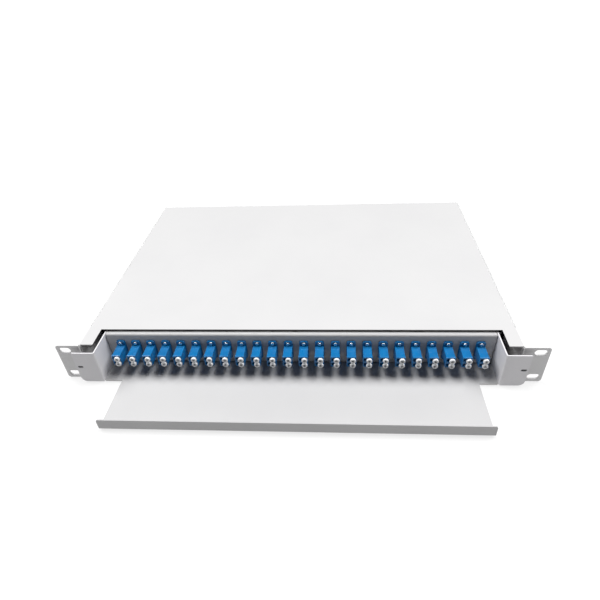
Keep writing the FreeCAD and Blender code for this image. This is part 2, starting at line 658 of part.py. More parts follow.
def tongue():
    """The narrower front of the floor, which carries the patch cords, and its upturned lip."""
    half = TONGUE_HALF_WIDTH
    plate = box(-half, half, TONGUE_FRONT, FLOOR_FRONT, FLOOR_BOTTOM, LIP_TOP)
    plate = round_edges(plate, BEND_R, 0, [(TONGUE_FRONT, FLOOR_BOTTOM)])
    hollow = box(-half - 1, half + 1, TONGUE_FRONT + SHEET, FLOOR_FRONT + 1, FLOOR_TOP, LIP_TOP + 1)
    hollow = round_edges(hollow, BEND_R - SHEET, 0, [(TONGUE_FRONT + SHEET, FLOOR_TOP)])
    plate = plate.cut(hollow)
    return round_edges(plate, LIP_CORNER_R, 1, [(half, LIP_TOP), (-half, LIP_TOP)])


def side_bracket():
    """The right side plate of the drawer, folded out at the front into the wing."""
    inner = FLOOR_HALF_WIDTH
    outer = BRACKET_HALF_WIDTH
    side = box(inner, outer, WING_FRONT, TRAY_BACK, FLOOR_BOTTOM, BRACKET_TOP)
    side = side.cut(box(inner - 1, outer + 1, BRACKET_STEP_Y, TRAY_BACK + 1, TRAY_WALL_TOP, BRACKET_TOP + 1))
    wing = box(inner, WING_HALF_WIDTH, WING_FRONT, WING_FRONT + SHEET, FLOOR_BOTTOM, BRACKET_TOP)
    wing = round_edges(wing, WING_CORNER_R, 1, [(WING_HALF_WIDTH, FLOOR_BOTTOM)])
    wing = round_edges(wing, 1.0, 1, [(WING_HALF_WIDTH, BRACKET_TOP)])
    bracket = side.fuse(wing).removeSplitter()
    bracket = round_edges(bracket, BEND_R, 2, [(inner, WING_FRONT)])
    bracket = round_edges(bracket, BEND_R - SHEET, 2, [(outer, WING_FRONT + SHEET)])
    slot = box(WING_SLOT_X - WING_SLOT_LENGTH / 2, WING_SLOT_X + WING_SLOT_LENGTH / 2, WING_FRONT - 1,
               WING_FRONT + SHEET + 1, WING_SLOT_Z - WING_SLOT_R, WING_SLOT_Z + WING_SLOT_R)
    ends = edges_along(slot, 1, [(WING_SLOT_X + sx * WING_SLOT_LENGTH / 2, WING_SLOT_Z + sz * WING_SLOT_R)
                                 for sx in (-1, 1) for sz in (-1, 1)])
    bracket = bracket.cut(slot.makeFillet(WING_SLOT_R - 0.01, ends))
    for y in SLIDE_RIVET_YS:
        bracket = bracket.cut(rod(SLIDE_RIVET_R + HOLE_CLEARANCE, inner - 1, y, SLIDE_Z, X_AXIS, 4))
    return bracket


def adapter_panel():
    """The upright panel that holds the adapters, with a top flange and a foot folded back."""
    half = PANEL_HALF_WIDTH
    panel = box(-half, half, PANEL_FRONT, PANEL_FRONT + PANEL_FOOT_FLANGE, FLOOR_TOP, BRACKET_TOP)
    panel = round_edges(panel, BEND_R, 0, [(PANEL_FRONT, FLOOR_TOP), (PANEL_FRONT, BRACKET_TOP)])
    panel = panel.cut(box(-half - 1, half + 1, PANEL_BACK, PANEL_FRONT + PANEL_FOOT_FLANGE + 1,
                          FLOOR_TOP + PANEL_T, BRACKET_TOP - PANEL_T))
    panel = panel.cut(box(-half - 1, half + 1, PANEL_FRONT + PANEL_TOP_FLANGE,
                          PANEL_FRONT + PANEL_FOOT_FLANGE + 1, 0, BRACKET_TOP + 1))
    openings = []
    for x in adapter_xs():
        half_w = BODY_WIDTH / 2 + WINDOW_GAP
        half_h = BODY_HEIGHT / 2 + WINDOW_GAP
        openings.append(box(x - half_w, x + half_w, PANEL_FRONT - 1, PANEL_BACK + 1,
                            ADAPTER_Z - half_h, ADAPTER_Z + half_h))
        for z in (ADAPTER_Z - SCREW_Z, ADAPTER_Z + SCREW_Z):
            openings.append(rod(FLANGE_SCREW_R + HOLE_CLEARANCE, x, PANEL_FRONT - 1, z, Y_AXIS, 4))
    for x in PANEL_STUD_XS:
        openings.append(rod(PANEL_STUD_R + HOLE_CLEARANCE, x, PANEL_STUD_Y, FLOOR_TOP - 1, Z_AXIS, 4))
    return panel.cut(openings)


# --- adapters and dust caps -------------------------------------------------------------------

def adapter_xs():
    """Centres of the adapters across the panel."""
    middle = (ADAPTER_COUNT - 1) / 2
    return [ADAPTER_PITCH * (index - middle) for index in range(ADAPTER_COUNT)]


def across_panel(shape):
    """One copy of a piece at every adapter."""
    return [moved(shape, x, 0, ADAPTER_Z) for x in adapter_xs()]


def port_zs():
    """Heights of the two ports of an adapter."""
    return (-PORT_SPACING / 2, PORT_SPACING / 2)


def adapter_body():
    """One duplex adapter, upright, its moulding drawn as touching blocks around the hollow ports."""
    half_w = BODY_WIDTH / 2
    half_h = BODY_HEIGHT / 2
    wall_front = BODY_FRONT + PORT_DEPTH
    wall_back = ADAPTER_BACK - PORT_DEPTH
    middle = box(-half_w, half_w, wall_front, wall_back, -half_h, half_h)
    for z in port_zs():
        middle = middle.cut(rod(SLEEVE_R + HOLE_CLEARANCE, PORT_OFFSET_X, BODY_FRONT, z, Y_AXIS, BODY_LENGTH))
    tabs = [adapter_tab(), adapter_tab().mirror(ORIGIN, Z_AXIS)]
    return [middle] + tabs + port_walls(BODY_FRONT, wall_front) + port_walls(wall_back, ADAPTER_BACK)


def adapter_tab():
    """The screw tab on top of an adapter."""
    half_w = BODY_WIDTH / 2
    top = FLANGE_HEIGHT / 2
    tab = box(-half_w, half_w, PANEL_FRONT - FLANGE_T, PANEL_FRONT, BODY_HEIGHT / 2, top)
    tab = round_edges(tab, FLANGE_CORNER_R, 1, [(-half_w, top), (half_w, top)])
    return tab.cut(rod(FLANGE_SCREW_R + HOLE_CLEARANCE, 0, PANEL_FRONT - FLANGE_T - 1, SCREW_Z, Y_AXIS, 5))


def port_walls(start, end):
    """The walls around both ports at one end of an adapter, with a keyway beside each for the latch."""
    half_w = BODY_WIDTH / 2
    half_h = BODY_HEIGHT / 2
    left = PORT_OFFSET_X - PORT_SIZE / 2
    right = PORT_OFFSET_X + PORT_SIZE / 2
    port_top = (PORT_SPACING + PORT_SIZE) / 2
    septum = (PORT_SPACING - PORT_SIZE) / 2
    thick_side = box(-half_w, left, start, end, -half_h, half_h)
    thick_side = round_edges(thick_side, BODY_CORNER_R, 1, [(-half_w, -half_h), (-half_w, half_h)])
    for z in port_zs():
        thick_side = thick_side.cut(box(left - KEYWAY_DEPTH, left, start, end,
                                        z - KEYWAY_WIDTH / 2, z + KEYWAY_WIDTH / 2))
    thin_side = box(right, half_w, start, end, -half_h, half_h)
    thin_side = round_edges(thin_side, BODY_CORNER_R, 1, [(half_w, -half_h), (half_w, half_h)])
    levels = ((-half_h, -port_top), (-septum, septum), (port_top, half_h))
    return [thick_side, thin_side] + [box(left, right, start, end, low, high) for low, high in levels]


def adapter_sleeve_pair():
    """The two ceramic sleeves that line up the ferrules, each with its slit."""
    middle = BODY_FRONT + BODY_LENGTH / 2
    start = middle - SLEEVE_LENGTH / 2
    sleeves = []
    for z in port_zs():
        sleeve = tube(SLEEVE_R, SLEEVE_BORE_R, PORT_OFFSET_X, start, z, Y_AXIS, SLEEVE_LENGTH)
        slit = box(PORT_OFFSET_X - 2, PORT_OFFSET_X, start - 1, start + SLEEVE_LENGTH + 1, z - 0.1, z + 0.1)
        sleeves.append(sleeve.cut(slit))
    return sleeves


def dust_cap():
    """A duplex dust cap: two rings joined by a web, and a shaft behind each ring."""
    ring_back = BODY_FRONT - CAP_GAP
    ring_front = ring_back - CAP_RING_LENGTH
    cap = box(PORT_OFFSET_X - CAP_WEB_HALF, PORT_OFFSET_X + CAP_WEB_HALF, ring_front + 0.5, ring_back,
              -PORT_SPACING / 2, PORT_SPACING / 2)
    for z in port_zs():
        ring = rod(CAP_RING_R, PORT_OFFSET_X, ring_front, z, Y_AXIS, CAP_RING_LENGTH)
        ring = round_rim(ring, 0.4, ring_front)
        shaft = rod(CAP_SHAFT_R, PORT_OFFSET_X, ring_back, z, Y_AXIS, CAP_SHAFT_LENGTH)
        cap = cap.fuse([ring, shaft])
    for z in port_zs():
        cap = cap.cut(rod(CAP_HOLE_R, PORT_OFFSET_X, ring_front - 1, z, Y_AXIS, CAP_HOLE_DEPTH + 1))
    return cap.removeSplitter()


def rear_cap():
    """The same cap turned round, in the rear ports."""
    middle = FreeCAD.Vector(0, BODY_FRONT + BODY_LENGTH / 2, 0)
    return dust_cap().mirror(middle, Y_AXIS)


def adapter_screw_pair():
    """The two screws of one adapter."""
    screw = pan_screw(FLANGE_SCREW_HEAD_R, FLANGE_SCREW_HEAD_H, FLANGE_SCREW_R, FLANGE_SCREW_LENGTH,
                      FLANGE_SCREW_R)
    return [moved(screw, 0, PANEL_FRONT - FLANGE_T, z) for z in (-SCREW_Z, SCREW_Z)]


def adapter_nut_pair():
    """The two nuts of one adapter, behind the panel."""
    nuts = []
    for z in (-SCREW_Z, SCREW_Z):
        nut = hexagon(FLANGE_NUT_HEX, 0, PANEL_BACK, z, Y_AXIS, FLANGE_NUT_T)
        nuts.append(nut.cut(rod(FLANGE_SCREW_R + HOLE_CLEARANCE, 0, PANEL_BACK - 1, z, Y_AXIS, 4)))
    return nuts


# --- splice trays, spools and their studs -----------------------------------------------------

def stud_places():
    """Position and radius of every stud clinched into the drawer floor."""
    places = [(x, PANEL_STUD_Y, PANEL_STUD_R) for x in PANEL_STUD_XS]
    places += [(side * TRAY_STUD_X, SPLICE_TRAY_CENTRE_Y, STUD_R) for side in (-1, 1)]
    places += [(side * SPOOL_X, SPLICE_TRAY_CENTRE_Y, STUD_R) for side in (-1, 1)]
    return places


def stud_length(x):
    """Height of a stud above the underside of the floor, for the piece that it holds."""
    if abs(x) == TRAY_STUD_X:
        return TRAY_STACK_TOP + LID_T - FLOOR_BOTTOM + STUD_PAST_TRAYS
    if abs(x) == SPOOL_X:
        return SHEET + SPOOL_HEIGHT + STUD_PAST_SPOOL
    return SHEET + PANEL_T + STUD_PAST_PANEL


def floor_studs():
    """The studs, flush under the floor; the tray studs carry a shoulder that lifts the trays."""
    studs = []
    for x, y, radius in stud_places():
        stud = rod(radius, x, y, FLOOR_BOTTOM, Z_AXIS, stud_length(x))
        if abs(x) == TRAY_STUD_X:
            stud = stud.fuse(rod(STUD_SHOULDER_R, x, y, FLOOR_TOP, Z_AXIS, SPLICE_TRAY_STANDOFF))
        studs.append(stud)
    return group(studs)


def stud_nuts():
    """One nut on each stud, on top of the piece that it holds."""
    nuts = []
    for x, y, radius in stud_places():
        if abs(x) == TRAY_STUD_X:
            seat = TRAY_STACK_TOP + LID_T
        elif abs(x) == SPOOL_X:
            seat = FLOOR_TOP + SPOOL_HEIGHT
        else:
            seat = FLOOR_TOP + PANEL_T
        nut = hexagon(3.5 * radius, x, y, seat, Z_AXIS, 1.6 * radius)
        nuts.append(nut.cut(rod(radius + HOLE_CLEARANCE, x, y, seat - 1, Z_AXIS, 6)))
    return group(nuts)


def rounded_block(half_x, half_y, corner_r, z0, z1):
    """A block with rounded upright corners, centred where the splice trays stand."""
    y = SPLICE_TRAY_CENTRE_Y
    block = box(-half_x, half_x, y - half_y, y + half_y, z0, z1)
    corners = [(sx * half_x, y + sy * half_y) for sx in (-1, 1) for sy in (-1, 1)]
    return round_edges(block, corner_r, 2, corners)


TRAY_CORNER_R = 12.0
TRAY_BOSS_R = 4.5
GUIDE_X = 42.0
GUIDE_R = 15.0
GUIDE_DROP = 1.5
TAB_X = 60.0
TAB_HALF = 5.0
TAB_REACH = 7.0
TAB_T = 1.2
DOOR_START = -36.0
DOOR_END = -24.0
COMB_HALF_X = 21.0
COMB_HALF_Y = 31.0
COMB_SLOTS = 12
COMB_RIB = 0.8
COMB_BASE = 1.0
COMB_HEIGHT = 6.4


def splice_tray(base_z):
    """A shallow moulded tray with two round fibre guides, holding tabs and two fibre doors."""
    length, width, height = SPLICE_TRAY_SIZE
    wall = SPLICE_TRAY_WALL
    y = SPLICE_TRAY_CENTRE_Y
    top = base_z + height
    tray = rounded_block(length / 2, width / 2, TRAY_CORNER_R, base_z, top)
    tray = tray.cut(rounded_block(length / 2 - wall, width / 2 - wall, TRAY_CORNER_R - wall,
                                  base_z + wall, top + 1))
    for side in (-1, 1):
        x = side * TRAY_STUD_X
        boss = rod(TRAY_BOSS_R, x, y, base_z, Z_AXIS, height)
        guide = tube(GUIDE_R, GUIDE_R - wall, side * GUIDE_X, y, base_z + wall / 2, Z_AXIS,
                     height - GUIDE_DROP - wall / 2)
        tray = tray.fuse([boss, guide])
        for level in (-1, 1):
            low, high = sorted((level * (width / 2 - wall / 2), level * (width / 2 - TAB_REACH)))
            tray = tray.fuse(box(side * TAB_X - TAB_HALF, side * TAB_X + TAB_HALF, y + low, y + high,
                                 top - TAB_T, top))
        near, far = sorted((side * (length / 2 + 1), side * (length / 2 - 3)))
        door = box(near, far, y + DOOR_START, y + DOOR_END, base_z + wall, top + 1)
        tray = tray.cut([rod(STUD_R + STUD_GAP, x, y, base_z - 1, Z_AXIS, height + 2), door])
    return tray


def tray_lid():
    """The clear lid over the upper tray."""
    length, width, _ = SPLICE_TRAY_SIZE
    lid = rounded_block(length / 2, width / 2, TRAY_CORNER_R, TRAY_STACK_TOP, TRAY_STACK_TOP + LID_T)
    for side in (-1, 1):
        lid = lid.cut(rod(STUD_R + STUD_GAP, side * TRAY_STUD_X, SPLICE_TRAY_CENTRE_Y, TRAY_STACK_TOP - 1,
                          Z_AXIS, 4))
    return lid


def splice_comb(base_z):
    """The ribbed holder in the middle of a tray: a base, and the ribs between its splice channels."""
    floor = base_z + SPLICE_TRAY_WALL
    front = SPLICE_TRAY_CENTRE_Y - COMB_HALF_Y
    back = SPLICE_TRAY_CENTRE_Y + COMB_HALF_Y
    pitch = (2 * COMB_HALF_X - COMB_RIB) / COMB_SLOTS
    blocks = [box(-COMB_HALF_X, COMB_HALF_X, front, back, floor, floor + COMB_BASE)]
    for index in range(COMB_SLOTS + 1):
        x = -COMB_HALF_X + pitch * index
        blocks.append(box(x, x + COMB_RIB, front, back, floor + COMB_BASE, floor + COMB_HEIGHT))
    return blocks


def fibre_spool(x):
    """A low spool that keeps the spare fibre in wide turns: a disc, a hub and four holding tabs."""
    y = SPLICE_TRAY_CENTRE_Y
    top = FLOOR_TOP + SPOOL_HEIGHT
    hub = rod(SPOOL_HUB_R, x, y, FLOOR_TOP, Z_AXIS, SPOOL_HEIGHT)
    spool = hub.fuse(rod(SPOOL_FLANGE_R, x, y, FLOOR_TOP, Z_AXIS, SPOOL_SHEET))
    for turn in range(4):
        tab = box(x + SPOOL_HUB_R - 3, x + SPOOL_FLANGE_R, y - SPOOL_TAB_HALF, y + SPOOL_TAB_HALF,
                  top - SPOOL_SHEET, top)
        tab.rotate(FreeCAD.Vector(x, y, 0), Z_AXIS, 45 + 90 * turn)
        spool = spool.fuse(tab)
    return spool.cut(rod(STUD_R + STUD_GAP, x, y, FLOOR_TOP - 1, Z_AXIS, SPOOL_HEIGHT + 2)).removeSplitter()


# --- export -----------------------------------------------------------------------------------

def save(node, shape):
    """Write one node to its own STEP file."""
    shape.exportStep("parts/" + node + ".step")


def save_pair(node, shape):
    """Write a right-hand piece and its mirror image as two nodes."""
    save(node + "_right", shape)
    save(node + "_left", mirrored(shape))


os.makedirs("parts", exist_ok=True)

save("chassis_base", chassis_base())
save("top_cover", top_cover())
save("cover_screws", cover_screws())
save_pair("rack_ear", rack_ear())
save("ear_screws", ear_screws())
save("cable_glands", group(both_sides(cable_gland(GLAND_X))))
save("gland_caps", group(both_sides(gland_cap(GLAND_X))))
save("gland_locknuts", group(both_sides(gland_locknut(GLAND_X))))
save("entry_plugs", group(both_sides(entry_plug(PLUG_X))))
save("ground_stud", ground_stud())

save_pair("slide_outer", slide_outer())
save_pair("slide_inner", slide_inner())
save("slide_retainers", group(both_sides(slide_retainer())))
save("slide_balls", group(slide_balls() + [mirrored(ball) for ball in slide_balls()]))
save("slide_spacers", group(both_sides(slide_spacer())))
save("wall_rivets", wall_rivets())
save("drawer_rivets", drawer_rivets())

save("drawer_tray", drawer_tray())
save_pair("side_bracket", side_bracket())
save("adapter_panel", adapter_panel())
save("adapter_bodies", group([piece for block in adapter_body() for piece in across_panel(block)]))
save("adapter_sleeves", group([piece for sleeve in adapter_sleeve_pair() for piece in across_panel(sleeve)]))
save("adapter_screws", group([piece for screw in adapter_screw_pair() for piece in across_panel(screw)]))
save("adapter_nuts", group([piece for nut in adapter_nut_pair() for piece in across_panel(nut)]))
save("rear_dust_caps", group(across_panel(rear_cap())))
for number, cap in enumerate(across_panel(dust_cap()), start=1):
    save("dust_cap_%02d" % number, cap)

save("floor_studs", floor_studs())
save("stud_nuts", stud_nuts())
save("splice_tray_lower", splice_tray(TRAY_BASE_Z))
save("splice_tray_upper", splice_tray(TRAY_BASE_Z + SPLICE_TRAY_SIZE[2]))
save("tray_lid", tray_lid())
save("splice_combs", group(splice_comb(TRAY_BASE_Z) + splice_comb(TRAY_BASE_Z + SPLICE_TRAY_SIZE[2])))
save("fibre_spools", group([fibre_spool(-SPOOL_X), fibre_spool(SPOOL_X)]))
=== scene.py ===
# Fibre termination box: finishes, moulded pieces, floor, light and camera around the CAD model. Metres.
import json
import math

import bmesh
import bpy
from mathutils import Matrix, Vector


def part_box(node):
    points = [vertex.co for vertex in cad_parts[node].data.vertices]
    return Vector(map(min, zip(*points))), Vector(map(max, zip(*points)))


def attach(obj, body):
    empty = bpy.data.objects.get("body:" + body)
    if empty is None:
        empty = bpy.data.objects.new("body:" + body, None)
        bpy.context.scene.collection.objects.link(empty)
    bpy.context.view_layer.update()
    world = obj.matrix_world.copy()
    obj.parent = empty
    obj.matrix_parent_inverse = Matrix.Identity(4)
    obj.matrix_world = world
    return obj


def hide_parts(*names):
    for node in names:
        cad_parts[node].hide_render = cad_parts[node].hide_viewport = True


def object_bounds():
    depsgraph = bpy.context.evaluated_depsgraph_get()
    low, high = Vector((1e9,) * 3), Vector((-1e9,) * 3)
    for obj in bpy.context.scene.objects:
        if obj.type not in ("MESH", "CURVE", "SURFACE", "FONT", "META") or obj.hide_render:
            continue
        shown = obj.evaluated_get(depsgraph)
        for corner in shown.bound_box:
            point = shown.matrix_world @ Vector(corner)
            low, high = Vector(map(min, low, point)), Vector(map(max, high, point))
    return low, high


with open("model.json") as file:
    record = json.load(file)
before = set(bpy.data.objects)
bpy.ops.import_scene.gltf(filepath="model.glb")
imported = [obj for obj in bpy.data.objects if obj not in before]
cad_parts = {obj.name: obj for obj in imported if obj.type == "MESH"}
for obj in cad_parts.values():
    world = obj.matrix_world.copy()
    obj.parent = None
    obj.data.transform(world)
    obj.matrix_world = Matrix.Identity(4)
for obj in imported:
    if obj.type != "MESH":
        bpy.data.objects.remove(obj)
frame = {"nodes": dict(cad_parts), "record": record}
cad_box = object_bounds()
nodes = frame["nodes"]

MM = 0.001


# --- camera -----------------------------------------------------------------------------------

CAMERA_PLACE = (0.0404, -0.3386, 0.3339)
CAMERA_TURN_DEG = (52.93, 2.72, 3.32)
CAMERA_LENS_MM = 28.46


def make_camera():
    """The camera in front of the box, above it and a little to its right."""
    camera = bpy.data.objects.new("camera", bpy.data.cameras.new("camera"))
    camera.data.lens = CAMERA_LENS_MM
    camera.data.sensor_width = 36.0
    camera.data.clip_start = 0.01
    camera.location = CAMERA_PLACE
    camera.rotation_euler = [math.radians(angle) for angle in CAMERA_TURN_DEG]
    bpy.context.scene.collection.objects.link(camera)
    bpy.context.scene.camera = camera


# --- materials --------------------------------------------------------------------------------

# The mix node's colour sockets share their names with its other sockets, so they go by number.
COLOUR_A = 6
COLOUR_B = 7
COLOUR_RESULT = 2


class Look:
    """A Principled material and short calls for the nodes that feed it."""

    def __init__(self, name):
        self.material = bpy.data.materials.new(name)
        self.material.use_nodes = True
        self.tree = self.material.node_tree
        self.shader = self.tree.nodes["Principled BSDF"]
        self.coords = self.tree.nodes.new("ShaderNodeTexCoord")

    def node(self, kind, **values):
        """A new node of one kind, with its own settings."""
        made = self.tree.nodes.new(kind)
        for key, value in values.items():
            setattr(made, key, value)
        return made

    def link(self, source, target):
        """Joins an output to an input."""
        self.tree.links.new(source, target)

    def place(self, stretch):
        """Object coordinates, stretched per axis."""
        mapping = self.node("ShaderNodeMapping")
        mapping.inputs["Scale"].default_value = stretch
        self.link(self.coords.outputs["Object"], mapping.inputs["Vector"])
        return mapping.outputs["Vector"]

    def noise(self, size, detail=3.0, stretch=(1, 1, 1)):
        """A 0..1 noise whose grains are about `size` metres wide."""
        made = self.node("ShaderNodeTexNoise")
        made.inputs["Scale"].default_value = 1.0 / size
        made.inputs["Detail"].default_value = detail
        self.link(self.place(stretch), made.inputs["Vector"])
        return made.outputs["Fac"]

    def spread(self, source, low, high, from_low=0.3, from_high=0.7):
        """Maps a 0..1 value to low..high."""
        made = self.node("ShaderNodeMapRange")
        made.inputs["From Min"].default_value = from_low
        made.inputs["From Max"].default_value = from_high
        made.inputs["To Min"].default_value = low
        made.inputs["To Max"].default_value = high
        self.link(source, made.inputs["Value"])
        return made.outputs["Result"]

    def blend_colours(self, source, first, second):
        """A colour between two, as a 0..1 value picks."""
        made = self.node("ShaderNodeMix", data_type="RGBA")
        made.inputs[COLOUR_A].default_value = (*first, 1)
        made.inputs[COLOUR_B].default_value = (*second, 1)
        self.link(source, made.inputs["Factor"])
        return made.outputs[COLOUR_RESULT]

    def add(self, first, second, share):
        """first plus share times second."""
        made = self.node("ShaderNodeMath", operation="MULTIPLY_ADD")
        made.inputs[1].default_value = share
        self.link(second, made.inputs[0])
        self.link(first, made.inputs[2])
        return made.outputs["Value"]

    def colour(self, source):
        """Sets the shader's colour from a node."""
        self.link(source, self.shader.inputs["Base Color"])

    def roughness(self, source):
        """Sets the shader's roughness from a node."""
        self.link(source, self.shader.inputs["Roughness"])

    def bump(self, source, depth):
        """Bump of a given depth in metres."""
        made = self.node("ShaderNodeBump")
        made.inputs["Strength"].default_value = 1.0
        made.inputs["Distance"].default_value = depth
        self.link(source, made.inputs["Height"])
        self.link(made.outputs["Normal"], self.shader.inputs["Normal"])

    def set(self, **values):
        """Plain values on the shader's own sockets."""
        for key, value in values.items():
            self.shader.inputs[key.replace("_", " ")].default_value = value


def powder_coat(name, light, dark, roughness=0.5):
    """Baked powder paint: a fine orange-peel surface with faint clouds in colour and roughness."""
    look = Look(name)
    clouds = look.noise(0.09, detail=4)
    grain = look.noise(0.0011, detail=2)
    look.colour(look.blend_colours(look.spread(clouds, 0, 1), light, dark))
    cloudy = look.add(clouds, grain, 0.4)
    look.roughness(look.spread(cloudy, roughness - 0.06, roughness + 0.10, 0.4, 1.0))
    look.bump(look.add(grain, look.noise(0.0035, detail=1), 0.6), 0.00004)
    look.set(Specular_IOR_Level=0.4)
    return look.material


def plated_steel(name, colour, roughness=0.32, along=(1, 1, 1)):
    """Zinc or nickel plate: metal with fine streaks and cloudy roughness."""
    look = Look(name)
    streaks = look.noise(0.0012, detail=4, stretch=along)
    clouds = look.noise(0.012, detail=3)
    darker = [0.78 * channel for channel in colour]
    look.colour(look.blend_colours(look.spread(clouds, 0, 1), colour, darker))
    look.roughness(look.spread(look.add(streaks, clouds, 0.6), roughness - 0.08, roughness + 0.14, 0.5, 1.1))
    look.bump(streaks, 0.00001)
    look.set(Metallic=1.0)
    return look.material


def moulded_plastic(name, light, dark, roughness, grain_depth=0.00001, soft=0.0):
    """Injection-moulded plastic: slight flow marks and a fine eroded grain."""
    look = Look(name)
    flow = look.noise(0.006, detail=3, stretch=(1.0, 0.35, 1.0))
    grain = look.noise(0.00045, detail=2)
    look.colour(look.blend_colours(look.spread(flow, 0, 1), light, dark))
    look.roughness(look.spread(look.add(flow, grain, 0.5), roughness - 0.05, roughness + 0.12, 0.4, 1.1))
    look.bump(look.add(grain, flow, 0.8), grain_depth)
    look.set(Subsurface_Weight=soft, Subsurface_Radius=(0.002, 0.002, 0.002), Specular_IOR_Level=0.5)
    return look.material


def clear_acrylic(name):
    """Clear lid: thin, slightly smoked, with faint rub marks."""
    look = Look(name)
    rubs = look.noise(0.004, detail=5, stretch=(1.0, 6.0, 1.0))
    look.colour(look.blend_colours(look.spread(rubs, 0, 1), (0.86, 0.90, 0.92), (0.80, 0.85, 0.88)))
    look.roughness(look.spread(rubs, 0.05, 0.20))
    look.bump(rubs, 0.000004)
    look.set(Transmission_Weight=0.75, IOR=1.49, Alpha=0.55)
    return look.material


LOOKS = {
    "powder_coat": powder_coat("powder_coat", (0.535, 0.533, 0.533), (0.505, 0.503, 0.505)),
    # Painted shade: the cover's powder paint made darker for the drawer tray.
    "tray_shaded_coat": powder_coat("tray_shaded_coat", (0.45, 0.448, 0.45), (0.425, 0.423, 0.427)),
    # Painted shade: the cover's powder paint made darker for the recessed adapter panel.
    "panel_shaded_coat": powder_coat("panel_shaded_coat", (0.44, 0.438, 0.44), (0.415, 0.413, 0.417)),
    # Painted light: the cover's powder paint made lighter for the side brackets.
    "bracket_lit_coat": powder_coat("bracket_lit_coat", (0.66, 0.652, 0.667), (0.625, 0.618, 0.635)),
    "ear_grey": powder_coat("ear_grey", (0.63, 0.627, 0.628), (0.585, 0.582, 0.585)),
    "screw_steel": plated_steel("screw_steel", (0.72, 0.72, 0.73)),
    "slide_zinc": plated_steel("slide_zinc", (0.66, 0.68, 0.71), 0.34, (1.0, 0.08, 1.0)),
    "bright_steel": plated_steel("bright_steel", (0.80, 0.80, 0.81), 0.20),
    "brass_stud": plated_steel("brass_stud", (0.78, 0.60, 0.30), 0.26, (1.0, 4.0, 1.0)),
    "black_nylon": moulded_plastic("black_nylon", (0.022, 0.022, 0.024), (0.035, 0.035, 0.037), 0.45),
    "black_rubber": moulded_plastic("black_rubber", (0.02, 0.02, 0.02), (0.032, 0.031, 0.03), 0.7, 0.00003),
    "adapter_blue": moulded_plastic("adapter_blue", (0.003, 0.137, 0.35), (0.003, 0.115, 0.305), 0.30),
    "zirconia": moulded_plastic("zirconia", (0.92, 0.92, 0.88), (0.88, 0.88, 0.84), 0.12, 0.000002),
    "cap_white": moulded_plastic("cap_white", (0.78, 0.79, 0.80), (0.73, 0.745, 0.76), 0.42, 0.00001, 0.15),
    "tray_white": moulded_plastic("tray_white", (0.74, 0.74, 0.72), (0.69, 0.69, 0.67), 0.48, 0.00002),
    "lid_clear": clear_acrylic("lid_clear"),
}


# --- mesh helpers -----------------------------------------------------------------------------

CORNER_STEPS = 4
CIRCLE_STEPS = 32


def rounded_ring(half_x, half_z, corner, y, centre_x=0.0, centre_z=0.0):
    """Points of a round-cornered rectangle in a plane of constant Y, in millimetres."""
    points = []
    for quarter, (side, level) in enumerate(((1, 1), (-1, 1), (-1, -1), (1, -1))):
        for step in range(CORNER_STEPS + 1):
            angle = math.radians(90 * (quarter + step / CORNER_STEPS))
            x = centre_x + side * (half_x - corner) + corner * math.cos(angle)
            z = centre_z + level * (half_z - corner) + corner * math.sin(angle)
            points.append(Vector((x, y, z)))
    return points


def circle_ring(radius, y, centre_x, centre_z):
    """Points of a circle in a plane of constant Y, in millimetres."""
    points = []
    for step in range(CIRCLE_STEPS):
        angle = 2 * math.pi * step / CIRCLE_STEPS
        points.append(Vector((centre_x + radius * math.cos(angle), y, centre_z + radius * math.sin(angle))))
    return points


def loft(rings):
    """A closed solid through rings of equal count, its two ends capped."""
    bm = bmesh.new()
    loops = [[bm.verts.new(point * MM) for point in ring] for ring in rings]
    for first, second in zip(loops, loops[1:]):
        for index in range(len(first)):
            following = (index + 1) % len(first)
            bm.faces.new((first[index], first[following], second[following], second[index]))
    bm.faces.new(loops[0])
    bm.faces.new(loops[-1])
    bmesh.ops.recalc_face_normals(bm, faces=bm.faces)
    return bm


def lathe(profile, centre_x, centre_z):
    """A closed solid turned about an axis along Y, its outline given as (radius, y) points."""
    return loft([circle_ring(radius, y, centre_x, centre_z) for radius, y in profile])


def as_object(name, bm):
    """Turns a bmesh into a linked object."""
    mesh = bpy.data.meshes.new(name)
    bm.to_mesh(mesh)
    bm.free()
    made = bpy.data.objects.new(name, mesh)
    bpy.context.scene.collection.objects.link(made)
    return made


def combine(base, others, operation):
    """Applies exact booleans of the other objects to base, and removes them."""
    for other in others:
        step = base.modifiers.new("step", "BOOLEAN")
        step.operation = operation
        step.solver = "EXACT"
        step.object = other
    bake_modifiers(base)
    for other in others:
        bpy.data.objects.remove(other)
    return base


def bake_modifiers(piece):
    """Makes the shape that the modifiers give the piece's own mesh."""
    evaluated = piece.evaluated_get(bpy.context.evaluated_depsgraph_get())
    mesh = bpy.data.meshes.new_from_object(evaluated)
    piece.modifiers.clear()
    piece.data = mesh


def smooth_by_angle(mesh, angle_deg=35):
    """Smooth shading with creases at the sharper edges."""
    mesh.polygons.foreach_set("use_smooth", [True] * len(mesh.polygons))
    mesh.set_sharp_from_angle(angle=math.radians(angle_deg))


def break_edges(piece, width_mm, angle_deg=40):
    """A narrow bevel along the sharper edges."""
    bevel = piece.modifiers.new("edge_break", "BEVEL")
    bevel.width = width_mm * MM
    bevel.segments = 2
    bevel.limit_method = "ANGLE"
    bevel.angle_limit = math.radians(angle_deg)
    bevel.harden_normals = True


def copies_in_one(name, source, places, flip_about_y=None):
    """One mesh with a copy of source at each place along the row; flip_about_y turns each end for end."""
    bm = bmesh.new()
    for x in places:
        before = len(bm.verts)
        bm.from_mesh(source)
        bm.verts.ensure_lookup_table()
        for vert in bm.verts[before:]:
            if flip_about_y is not None:
                vert.co.y = 2 * flip_about_y - vert.co.y
            vert.co.x += x
            vert.co.z += ROW_Z
    if flip_about_y is not None:
        bmesh.ops.reverse_faces(bm, faces=bm.faces)
    return as_object(name, bm)


